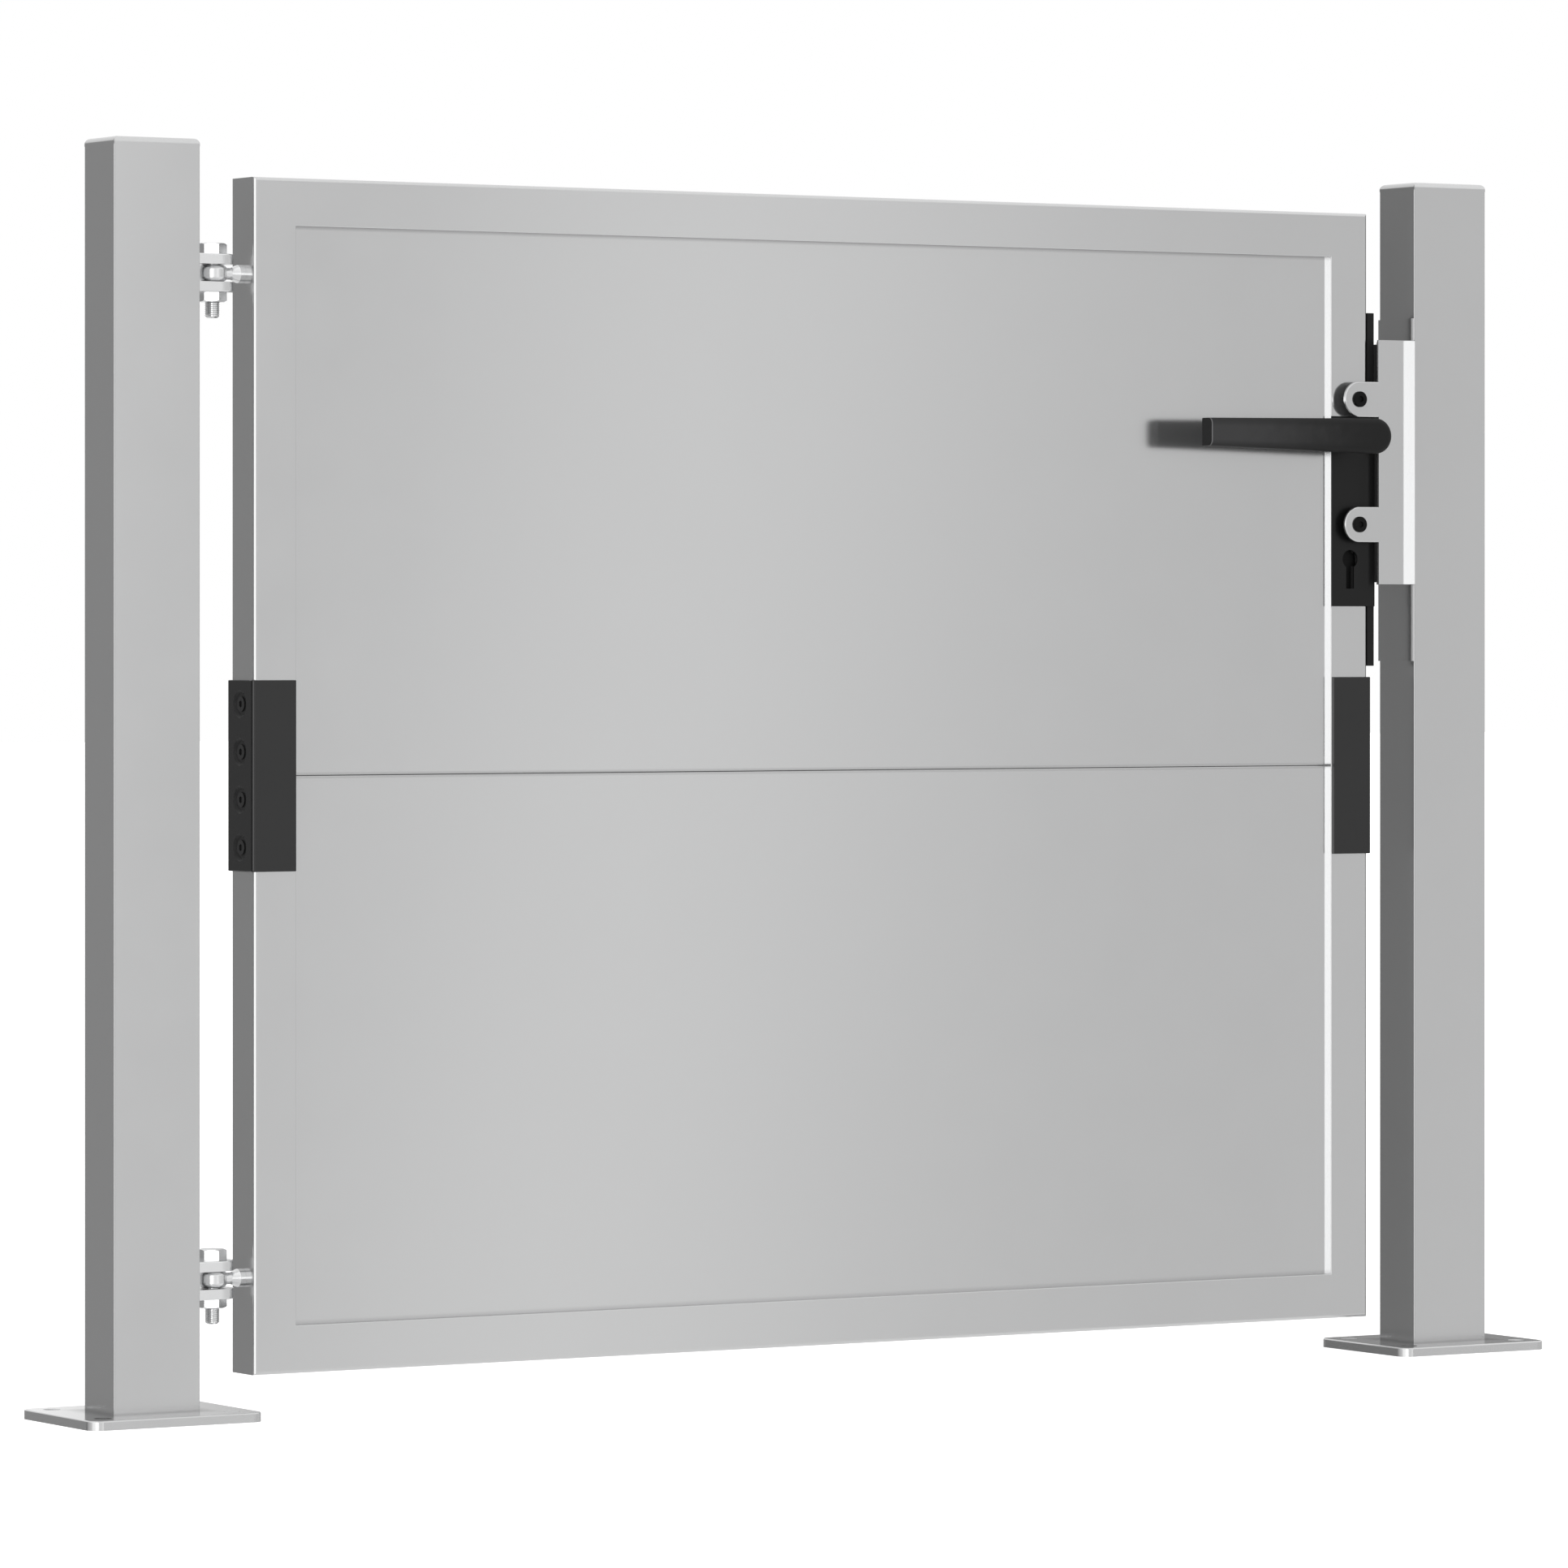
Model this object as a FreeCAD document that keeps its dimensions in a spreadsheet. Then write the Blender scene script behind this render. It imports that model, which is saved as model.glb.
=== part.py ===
"""Steel garden gate: one framed leaf hung between two posts on base plates.

Millimetres, +Z up, X along the gate from the hinge post to the latch post, Y to the back.
The origin is the middle of the hinge post's base plate, on its underside.
"""
import FreeCAD, Part
import os
import re
import Sketcher

# Driving dimensions of the gate
DIMENSIONS = [
    # Posts, their caps and their base plates
    ("post_width", 60), ("post_depth", 40), ("post_wall", 2), ("post_edge", 0.6),
    ("post_spacing", 990), ("overall_height", 797),
    ("cap_thick", 5), ("cap_edge", 3.5), ("cap_plug", 12),
    ("plate_width", 120), ("plate_depth", 100), ("plate_thick", 6), ("plate_corner", 8), ("plate_edge", 1),
    ("plate_hole", 11), ("plate_hole_row", 90), ("plate_hole_column", 70),
    # Leaf frame of mitred square tube
    ("leaf_width", 855), ("leaf_height", 750), ("leaf_clear", 25), ("hinge_gap", 43),
    ("frame_tube", 30), ("frame_wall", 2), ("frame_edge", 2), ("frame_bead", 0.4), ("leaf_setback", 10),
    # Two infill panels set back from the frame's face
    ("panel_recess", 4), ("panel_edge", 1),
    # Hinges: a fork on the post, an eye bolt in the stile and a hexagon bolt through both
    ("upper_hinge", 714.5), ("lower_hinge", 85.3),
    ("fork_ear", 6.5), ("fork_gap", 11), ("fork_radius", 13.5), ("fork_web", 6), ("fork_edge", 0.8),
    ("pin_bore", 10.1), ("pin_size", 10), ("pin_hex", 16), ("pin_head", 7), ("pin_nut", 6), ("pin_bevel", 0.5),
    ("pin_tail", 10), ("pin_root", 8.6), ("pin_point", 1),
    ("eye_height", 10.4), ("eye_radius", 9.2), ("eye_edge", 2.8), ("neck_start", 12.5), ("neck_end", 17.5),
    ("eye_neck", 7.5), ("rod_size", 11.5), ("rod_depth", 20), ("rod_bore", 11.6),
    # U-shaped covers over the stiles at mid height
    ("cover_height", 120), ("cover_thick", 2), ("cover_inset", 1), ("cover_edge", 2), ("cover_bevel", 0.6),
    ("screw_recess", 14), ("recess_bevel", 1.6), ("screw_head", 9.5), ("screw_pitch", 30), ("screw_rise", 1.4),
    ("screw_washer", 0.5), ("washer_play", 0.4), ("screw_socket", 4), ("socket_sink", 1),
    # Lock
    ("forend_height", 240), ("forend_thick", 6), ("forend_middle", 587.5), ("forend_edge", 1),
    ("latch_width", 12), ("latch_height", 30), ("latch_reach", 4), ("latch_middle", 602),
    ("lock_cover_top", 637), ("lock_cover_low", 508), ("lock_cover_thick", 1), ("lock_cover_width", 35.5),
    ("spindle_height", 623), ("spindle_size", 8), ("spindle_bore", 13),
    ("cylinder_height", 540), ("cylinder_round", 12.4), ("cylinder_slot", 6.4), ("cylinder_drop", 20),
    ("cylinder_inset", 4),
    # Lever handles
    ("lever_reach", 137.5), ("lever_hub", 23.8), ("lever_tip", 18.7), ("lever_rise", 1.2), ("lever_thick", 11), ("lever_stand", 24),
    ("lever_edge", 4), ("tip_edge", 0.6), ("neck_size", 15), ("neck_clear", 2.3), ("socket_depth", 12),
    # Keeper on the latch post
    ("backing_thick", 1.1), ("backing_height", 233.5), ("backing_middle", 587.5),
    ("keeper_middle", 606), ("keeper_height", 166), ("keeper_leg", 1.5), ("keeper_front", 4.5),
    ("stop_thick", 2), ("stop_setback", 2), ("stop_width", 25.4), ("lug_spacing", 85), ("lug_radius", 12),
    ("lug_reach", 41.4), ("lug_edge", 0.7), ("stop_hole", 8), ("stop_head", 10.7), ("stop_head_thick", 1.6),
    ("stop_head_edge", 0.6), ("stop_socket", 4), ("edging_thick", 3), ("edging_inset", 1.6),
    ("keeper_slot_width", 16), ("keeper_slot_height", 40),
]
ALIASES = {name for name, _ in DIMENSIONS}

doc = FreeCAD.newDocument("GardenGate")
sheet = doc.addObject("Spreadsheet::Sheet", "Dimensions")
for row, (alias, value) in enumerate(DIMENSIONS, start=1):
    sheet.set(f"A{row}", alias)
    sheet.set(f"B{row}", str(value))
    sheet.setAlias(f"B{row}", alias)
doc.recompute()

SUBPARTS = []


def bound(formula):
    """Turn a formula in the sheet's words into an expression that FreeCAD follows."""
    return re.sub(r"[a-z_]+", lambda word: "Dimensions." + word.group(0)
                  if word.group(0) in ALIASES else word.group(0), str(formula))


def new_body(name, x="0", y="0", z="0"):
    """A body whose own origin stands at a place given by three formulas."""
    body = doc.addObject("PartDesign::Body", name)
    body.Label = name
    for axis, formula in zip("xyz", (x, y, z)):
        body.setExpression(f"Placement.Base.{axis}", bound(formula))
    SUBPARTS.append(body)
    return body


def new_sketch(body, name, role, x="0", y="0", z="0"):
    """A sketch on one of the body's origin planes, shifted by formulas in the sketch's own axes."""
    sketch = body.newObject("Sketcher::SketchObject", f"{body.Name}_{name}")
    plane = next(item for item in body.Origin.OriginFeatures if item.Role == role)
    sketch.AttachmentSupport = [(plane, "")]
    sketch.MapMode = "FlatFace"
    for axis, formula in zip("xyz", (x, y, z)):
        sketch.setExpression(f"AttachmentOffset.Base.{axis}", bound(formula))
    return sketch


def bind(sketch, constraint, formula):
    """Add a dimension to a sketch and bind it to a formula."""
    index = sketch.addConstraint(constraint)
    sketch.setExpression(f"Constraints[{index}]", bound(formula))


def draw_rectangle(sketch, width, height):
    """A rectangle about the sketch's origin."""
    point = [FreeCAD.Vector(x, y, 0) for x, y in ((-9, -7), (9, -7), (9, 7), (-9, 7))]
    first = len(sketch.Geometry)
    for index in range(4):
        sketch.addGeometry(Part.LineSegment(point[index], point[(index + 1) % 4]), False)
    for index in range(4):
        sketch.addConstraint(Sketcher.Constraint("Coincident", first + index, 2, first + (index + 1) % 4, 1))
    for line, kind in ((0, "Horizontal"), (1, "Vertical"), (2, "Horizontal"), (3, "Vertical")):
        sketch.addConstraint(Sketcher.Constraint(kind, first + line))
    sketch.addConstraint(Sketcher.Constraint("Symmetric", first, 1, first + 2, 1, -1, 1))
    bind(sketch, Sketcher.Constraint("DistanceX", first, 1, first, 2, 18.0), width)
    bind(sketch, Sketcher.Constraint("DistanceY", first + 1, 1, first + 1, 2, 14.0), height)


def draw_circle(sketch, diameter):
    """A circle about the sketch's origin."""
    circle = sketch.addGeometry(Part.Circle(FreeCAD.Vector(0, 0, 0), FreeCAD.Vector(0, 0, 1), 5), False)
    sketch.addConstraint(Sketcher.Constraint("Coincident", circle, 3, -1, 1))
    bind(sketch, Sketcher.Constraint("Diameter", circle, 10.0), diameter)


def draw_hexagon(sketch, across_flats):
    """A regular hexagon about the sketch's origin, with two corners on the sketch's y axis."""
    corner = [FreeCAD.Vector(0, 9, 0)]
    turn = FreeCAD.Rotation(FreeCAD.Vector(0, 0, 1), 60)
    while len(corner) < 6:
        corner.append(turn.multVec(corner[-1]))
    ring = sketch.addGeometry(Part.Circle(FreeCAD.Vector(0, 0, 0), FreeCAD.Vector(0, 0, 1), 9), True)
    sketch.addConstraint(Sketcher.Constraint("Coincident", ring, 3, -1, 1))
    first = len(sketch.Geometry)
    for index in range(6):
        sketch.addGeometry(Part.LineSegment(corner[index], corner[(index + 1) % 6]), False)
    for index in range(6):
        following = first + (index + 1) % 6
        sketch.addConstraint(Sketcher.Constraint("Coincident", first + index, 2, following, 1))
        sketch.addConstraint(Sketcher.Constraint("PointOnObject", first + index, 1, ring))
    for index in range(5):
        sketch.addConstraint(Sketcher.Constraint("Equal", first + index, first + index + 1))
    sketch.addConstraint(Sketcher.Constraint("PointOnObject", first, 1, -2))
    bind(sketch, Sketcher.Constraint("Radius", ring, 9.0), f"{across_flats} / sqrt(3)")


def draw_outline(sketch, points):
    """A closed outline through points whose two coordinates are formulas, as straight lines."""
    values = [(evaluate(x), evaluate(y)) for x, y in points]
    vectors = [FreeCAD.Vector(x, y, 0) for x, y in values]
    for start, end in zip(vectors, vectors[1:] + vectors[:1]):
        sketch.addGeometry(Part.LineSegment(start, end), False)
    for index in range(len(points)):
        sketch.addConstraint(Sketcher.Constraint("Coincident", index, 2, (index + 1) % len(points), 1))
    for index, (x, y) in enumerate(points):
        place_point(sketch, index, "X", x, values[index][0])
        place_point(sketch, index, "Y", y, values[index][1])


def place_point(sketch, line, axis, formula, value):
    """Hold the start of a line at a formula's distance from the sketch's origin along one axis."""
    if abs(value) < 1e-9:
        other = -2 if axis == "X" else -1
        sketch.addConstraint(Sketcher.Constraint("PointOnObject", line, 1, other))
    elif value > 0:
        bind(sketch, Sketcher.Constraint("Distance" + axis, -1, 1, line, 1, value), formula)
    else:
        bind(sketch, Sketcher.Constraint("Distance" + axis, line, 1, -1, 1, -value), f"-({formula})")


def evaluate(formula):
    """The value of a formula at the present dimensions."""
    return float(sheet.evalExpression(re.sub(r"Dimensions\.", "", bound(formula))))


def check(feature, grows):
    """Compute the document and make sure that a feature adds or removes material."""
    doc.recompute()
    base = feature.BaseFeature.Shape.Volume if feature.BaseFeature else 0.0
    change = feature.Shape.Volume - base
    if (change > 0) != grows or abs(change) < 1e-6:
        raise RuntimeError(f"{feature.Name} changes the volume by {change:.3f}")
    return feature


def pad(body, sketch, length, both_ways=False, backwards=False):
    """Raise a sketch by a length, about its plane or to one side of it."""
    feature = body.newObject("PartDesign::Pad", f"{sketch.Name}_pad")
    feature.Profile = sketch
    feature.setExpression("Length", bound(length))
    feature.Midplane = both_ways
    feature.Reversed = backwards
    return check(feature, True)


def pocket(body, sketch, length, both_ways=False, backwards=False):
    """Cut a sketch into the body by a length, about its plane or to one side of it."""
    feature = body.newObject("PartDesign::Pocket", f"{sketch.Name}_cut")
    feature.Profile = sketch
    feature.setExpression("Length", bound(length))
    feature.Midplane = both_ways
    feature.Reversed = backwards
    return check(feature, False)


def turn(body, sketch, axis, grows=True):
    """Add or cut the form that a sketch makes when it is turned once about one of its own axes."""
    kind = "Revolution" if grows else "Groove"
    feature = body.newObject(f"PartDesign::{kind}", f"{sketch.Name}_turned")
    feature.Profile = sketch
    feature.ReferenceAxis = (sketch, [axis])
    feature.Angle = 360
    return check(feature, grows)


def treat_edges(body, kind, size, wanted):
    """Fillet or chamfer the edges of the body's last shape that a test picks."""
    base = body.Tip
    picked = [f"Edge{number}" for number, edge in enumerate(base.Shape.Edges, start=1) if wanted(edge)]
    feature = body.newObject(f"PartDesign::{kind}", f"{base.Name}_{kind}")
    feature.Base = (base, picked)
    feature.setExpression("Radius" if kind == "Fillet" else "Size", bound(size))
    doc.recompute()


def round_edges(body, radius, wanted):
    treat_edges(body, "Fillet", radius, wanted)


def bevel_edges(body, size, wanted):
    treat_edges(body, "Chamfer", size, wanted)


def runs_along(axis):
    """A test for straight edges that run along one axis."""
    def wanted(edge):
        if not isinstance(edge.Curve, Part.Line):
            return False
        return abs(abs(edge.Curve.Direction.dot(axis)) - 1) < 1e-6
    return wanted


ALONG_X = FreeCAD.Vector(1, 0, 0)
ALONG_Y = FreeCAD.Vector(0, 1, 0)
ALONG_Z = FreeCAD.Vector(0, 0, 1)


def lies_at(axis, place):
    """A test for edges whose middle lies at a place along one axis, to either side of the origin."""
    return lambda edge: abs(abs(edge.CenterOfMass.dot(axis)) - abs(place)) < 1e-6


# Posts with caps and base plates
def make_post(side, x):
    """A post of rectangular tube with its cap and base plate."""
    base = new_body(f"{side}_base_plate", x)
    outline = new_sketch(base, "outline", "XY_Plane")
    draw_rectangle(outline, "plate_width", "plate_depth")
    pad(base, outline, "plate_thick")
    round_edges(base, "plate_corner", runs_along(ALONG_Z))
    top = evaluate("plate_thick")
    round_edges(base, "plate_edge", lies_at(ALONG_Z, top))
    for column in (-1, 1):
        for line in (-1, 1):
            hole = new_sketch(base, f"hole_{column + 1}{line + 1}", "XY_Plane",
                              f"{column} * plate_hole_row / 2", f"{line} * plate_hole_column / 2")
            draw_circle(hole, "plate_hole")
            pocket(base, hole, "plate_thick", backwards=True)

    post = new_body(f"{side}_post", x, "0", "plate_thick")
    outline = new_sketch(post, "outline", "XY_Plane")
    draw_rectangle(outline, "post_width", "post_depth")
    pad(post, outline, "overall_height - plate_thick - cap_thick")
    round_edges(post, "post_edge", runs_along(ALONG_Z))
    hollow = new_sketch(post, "hollow", "XY_Plane")
    draw_rectangle(hollow, "post_width - 2 * post_wall", "post_depth - 2 * post_wall")
    pocket(post, hollow, "overall_height - plate_thick - cap_thick", backwards=True)

    cap = new_body(f"{side}_post_cap", x, "0", "overall_height - cap_thick")
    outline = new_sketch(cap, "outline", "XY_Plane")
    draw_rectangle(outline, "post_width", "post_depth")
    pad(cap, outline, "cap_thick")
    round_edges(cap, "cap_edge", lies_at(ALONG_Z, evaluate("cap_thick")))
    plug = new_sketch(cap, "plug", "XY_Plane")
    draw_rectangle(plug, "post_width - 2 * post_wall", "post_depth - 2 * post_wall")
    pad(cap, plug, "cap_plug", backwards=True)


# Places that several pieces share
LEAF_LEFT = "(post_width / 2 + hinge_gap)"
LEAF_RIGHT = f"({LEAF_LEFT} + leaf_width)"
LEAF_MIDDLE = f"({LEAF_LEFT} + leaf_width / 2)"
LEAF_DEPTH = "(leaf_setback + frame_tube / 2 - post_depth / 2)"
LEAF_FRONT = f"({LEAF_DEPTH} - frame_tube / 2)"
LEAF_BACK = f"({LEAF_DEPTH} + frame_tube / 2)"
LEAF_TOP = "(leaf_clear + leaf_height)"
LEAF_CENTRE = "(leaf_clear + leaf_height / 2)"
HINGE_AXIS = "(post_width / 2 + hinge_gap / 2)"
STILE_AXIS = f"({LEAF_RIGHT} - frame_tube / 2)"
LATCH_POST = "post_spacing"


def hollow_tube(body, role, length):
    """Cut the square bore of a frame tube along its whole length."""
    hollow = new_sketch(body, "hollow", role)
    draw_rectangle(hollow, "frame_tube - 2 * frame_wall", "frame_tube - 2 * frame_wall")
    pocket(body, hollow, length, both_ways=True)


def round_tube(body, along, inwards):
    """Round a tube's long edges, and leave those beside the panels crisp."""
    lengthwise = runs_along(along)
    round_edges(body, "frame_edge", lambda edge: lengthwise(edge) and edge.CenterOfMass.dot(inwards) < 0)
    round_edges(body, "frame_bead", lambda edge: lengthwise(edge)
                and abs(edge.CenterOfMass.dot(inwards) - evaluate("frame_tube / 2")) < 1e-6)


def make_stile(name, x, inwards):
    """An upright of the frame, mitred towards the leaf's middle; inwards is 1 or -1 along X."""
    body = new_body(name, x, LEAF_DEPTH, LEAF_CENTRE)
    outline = new_sketch(body, "outline", "XZ_Plane")
    outer = f"{-inwards} * frame_tube / 2"
    inner = f"{inwards} * frame_tube / 2"
    draw_outline(outline, [
        (outer, "-leaf_height / 2"),
        (inner, "-leaf_height / 2 + frame_tube"),
        (inner, "leaf_height / 2 - frame_tube"),
        (outer, "leaf_height / 2"),
    ])
    pad(body, outline, "frame_tube", both_ways=True)
    round_tube(body, ALONG_Z, ALONG_X * inwards)
    hollow_tube(body, "XY_Plane", "leaf_height")
    return body


def make_rail(name, z, inwards):
    """A level tube of the frame, mitred towards the leaf's middle; inwards is 1 or -1 along Z."""
    body = new_body(name, LEAF_MIDDLE, LEAF_DEPTH, z)
    outline = new_sketch(body, "outline", "XZ_Plane")
    outer = f"{-inwards} * frame_tube / 2"
    inner = f"{inwards} * frame_tube / 2"
    draw_outline(outline, [
        ("-leaf_width / 2", outer),
        ("leaf_width / 2", outer),
        ("leaf_width / 2 - frame_tube", inner),
        ("-leaf_width / 2 + frame_tube", inner),
    ])
    pad(body, outline, "frame_tube", both_ways=True)
    round_tube(body, ALONG_X, ALONG_Z * inwards)
    hollow_tube(body, "YZ_Plane", "leaf_width")


def make_panel(name, z, joint):
    """One of the two infill cassettes, softly rounded at their joint; joint is 1 or -1 along Z."""
    body = new_body(name, LEAF_MIDDLE, LEAF_DEPTH, z)
    outline = new_sketch(body, "outline", "XZ_Plane")
    draw_rectangle(outline, "leaf_width - 2 * frame_tube", "leaf_height / 2 - frame_tube")
    pad(body, outline, "frame_tube - 2 * panel_recess", both_ways=True)
    face = lies_at(ALONG_Y, evaluate("frame_tube / 2 - panel_recess"))
    round_edges(body, "panel_edge", lambda edge: face(edge) and runs_along(ALONG_X)(edge)
                and edge.CenterOfMass.z * joint > 0)


def bevel_hexagon(body, end, outwards):
    """Turn the corners off a hexagon's outer end; outwards is 1 or -1 along Z."""
    ring = new_sketch(body, "bevel", "XZ_Plane")
    near = "(pin_hex / 2 - pin_bevel)"
    far = "(pin_hex * 0.7)"
    draw_outline(ring, [(near, end), (far, end), (far, f"{end} - {outwards} * ({far} - {near}) / sqrt(3)")])
    turn(body, ring, "V_Axis", grows=False)


def make_hinge(level, z):
    """Fork, bolt, nut and eye bolt of one hinge at height z."""
    fork = new_body(f"{level}_hinge_fork", HINGE_AXIS, LEAF_DEPTH, z)
    reach = "hinge_gap / 2"
    half = "(fork_gap / 2 + fork_ear)"
    block = new_sketch(fork, "block", "XY_Plane", f"-{reach} / 2")
    draw_rectangle(block, reach, "2 * fork_radius")
    pad(fork, block, f"2 * {half}", both_ways=True)
    nose = new_sketch(fork, "nose", "XY_Plane")
    draw_circle(nose, "2 * fork_radius")
    pad(fork, nose, f"2 * {half}", both_ways=True)
    outside = lies_at(ALONG_Z, evaluate(half))
    post_side = evaluate(reach)
    round_edges(fork, "fork_edge", lambda edge: outside(edge) and edge.CenterOfMass.x > 1e-6 - post_side)
    throat = new_sketch(fork, "throat", "XY_Plane", "fork_web")
    draw_rectangle(throat, "hinge_gap", "3 * fork_radius")
    pocket(fork, throat, "fork_gap", both_ways=True)
    bore = new_sketch(fork, "bore", "XY_Plane")
    draw_circle(bore, "pin_bore")
    pocket(fork, bore, "fork_gap + 3 * fork_ear", both_ways=True)

    pin = new_body(f"{level}_hinge_bolt", HINGE_AXIS, LEAF_DEPTH, f"{z} + {half}")
    head = new_sketch(pin, "head", "XY_Plane")
    draw_hexagon(head, "pin_hex")
    pad(pin, head, "pin_head")
    bevel_hexagon(pin, "pin_head", 1)
    shank = new_sketch(pin, "shank", "XY_Plane")
    draw_circle(shank, "pin_size")
    grip = f"(2 * {half} + pin_nut)"
    pad(pin, shank, grip, backwards=True)
    tail = new_sketch(pin, "tail", "XY_Plane", "0", "0", f"-{grip}")
    draw_circle(tail, "pin_root")
    pad(pin, tail, "pin_tail", backwards=True)
    bevel_edges(pin, "pin_point", lies_at(ALONG_Z, evaluate(f"{grip} + pin_tail")))

    nut = new_body(f"{level}_hinge_nut", HINGE_AXIS, LEAF_DEPTH, f"{z} - {half}")
    flats = new_sketch(nut, "flats", "XY_Plane")
    draw_hexagon(flats, "pin_hex")
    pad(nut, flats, "pin_nut", backwards=True)
    bevel_hexagon(nut, "-pin_nut", -1)
    bore = new_sketch(nut, "bore", "XY_Plane")
    draw_circle(bore, "pin_bore")
    pocket(nut, bore, "pin_nut")

    eye = new_body(f"{level}_eye_bolt", HINGE_AXIS, LEAF_DEPTH, z)
    ring = new_sketch(eye, "ring", "XY_Plane")
    draw_circle(ring, "2 * eye_radius")
    pad(eye, ring, "eye_height", both_ways=True)
    round_edges(eye, "eye_edge", lies_at(ALONG_Z, evaluate("eye_height / 2")))
    rod = new_sketch(eye, "rod", "XY_Plane")
    end = "(hinge_gap / 2 + rod_depth)"
    draw_outline(rod, [("0", "0"), ("0", "eye_neck / 2"), ("neck_start", "eye_neck / 2"),
                       ("neck_end", "rod_size / 2"), (end, "rod_size / 2"), (end, "0")])
    turn(eye, rod, "H_Axis")
    bore = new_sketch(eye, "bore", "XY_Plane")
    draw_circle(bore, "pin_bore")
    pocket(eye, bore, "2 * eye_height", both_ways=True)


def make_leaf_frame():
    """The four mitred tubes, with the holes that the hinges, lock and handles need."""
    hinge_stile = make_stile("hinge_stile", f"{LEAF_LEFT} + frame_tube / 2", 1)
    for level, z in (("upper", "upper_hinge"), ("lower", "lower_hinge")):
        hole = new_sketch(hinge_stile, f"{level}_hole", "YZ_Plane", "0", f"{z} - {LEAF_CENTRE}",
                          "-frame_tube / 2")
        draw_circle(hole, "rod_bore")
        pocket(hinge_stile, hole, "frame_tube / 2", backwards=True)

    latch_stile = make_stile("latch_stile", STILE_AXIS, -1)
    hole = new_sketch(latch_stile, "spindle_hole", "XZ_Plane", "0", f"spindle_height - {LEAF_CENTRE}")
    draw_circle(hole, "spindle_bore")
    pocket(latch_stile, hole, "2 * frame_tube", both_ways=True)
    hole = new_sketch(latch_stile, "cylinder_hole", "XZ_Plane", "0",
                      f"cylinder_height - cylinder_drop / 2 + cylinder_round / 4 - {LEAF_CENTRE}")
    draw_rectangle(hole, "cylinder_round", "cylinder_drop + cylinder_round / 2")
    pocket(latch_stile, hole, "2 * frame_tube", both_ways=True)

    make_rail("top_rail", f"{LEAF_TOP} - frame_tube / 2", -1)
    make_rail("bottom_rail", "leaf_clear + frame_tube / 2", 1)


def make_stile_cover(side, x, outwards):
    """A U-shaped cover over a stile at mid height, open towards the panels; outwards is 1 or -1."""
    body = new_body(f"{side}_cover", x, LEAF_DEPTH, LEAF_CENTRE)
    outer = f"{outwards} * cover_thick"
    inner = f"{-outwards} * (frame_tube - cover_inset)"
    span = "(frame_tube / 2 + cover_thick)"
    outline = new_sketch(body, "outline", "XY_Plane")
    draw_outline(outline, [(outer, f"-{span}"), (outer, span), (inner, span), (inner, "frame_tube / 2"),
                           ("0", "frame_tube / 2"), ("0", "-frame_tube / 2"),
                           (inner, "-frame_tube / 2"), (inner, f"-{span}")])
    pad(body, outline, "cover_height", both_ways=True)
    face = evaluate("cover_thick")
    upright = runs_along(ALONG_Z)
    round_edges(body, "cover_edge", lambda edge: upright(edge)
                and abs(edge.CenterOfMass.x - outwards * face) < 1e-6)
    end = lies_at(ALONG_Z, evaluate("cover_height / 2"))
    rim = evaluate("frame_tube / 2 + 0.6 * cover_thick")
    round_edges(body, "cover_bevel", lambda edge: end(edge) and (
        abs(edge.CenterOfMass.y) > rim or outwards * edge.CenterOfMass.x > 0.6 * face))
    screws = new_body(f"{side}_cover_screws", x, LEAF_DEPTH, LEAF_CENTRE)
    screws.AllowCompound = True
    for number, place in enumerate((-1.5, -0.5, 0.5, 1.5), start=1):
        height = f"{place} * screw_pitch"
        hole = new_sketch(body, f"recess_{number}", "YZ_Plane", "0", height)
        draw_circle(hole, "screw_recess")
        pocket(body, hole, "cover_thick", backwards=outwards > 0)
        washer = new_sketch(screws, f"washer_{number}", "YZ_Plane", "0", height)
        draw_circle(washer, "screw_recess - washer_play")
        pad(screws, washer, "screw_washer", backwards=outwards < 0)
        head = new_sketch(screws, f"head_{number}", "YZ_Plane", "0", height)
        draw_circle(head, "screw_head")
        pad(screws, head, "screw_rise", backwards=outwards < 0)
        socket = new_sketch(screws, f"socket_{number}", "YZ_Plane", "0", height,
                            f"{outwards} * (screw_rise - socket_sink)")
        draw_hexagon(socket, "screw_socket")
        pocket(screws, socket, "screw_rise", backwards=outwards > 0)
    mouth = evaluate("screw_recess / 2")
    bevel_edges(body, "recess_bevel", lambda edge: isinstance(edge.Curve, Part.Circle)
                and abs(edge.Curve.Radius - mouth) < 1e-6
                and abs(edge.CenterOfMass.x - outwards * face) < 1e-6)


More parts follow.
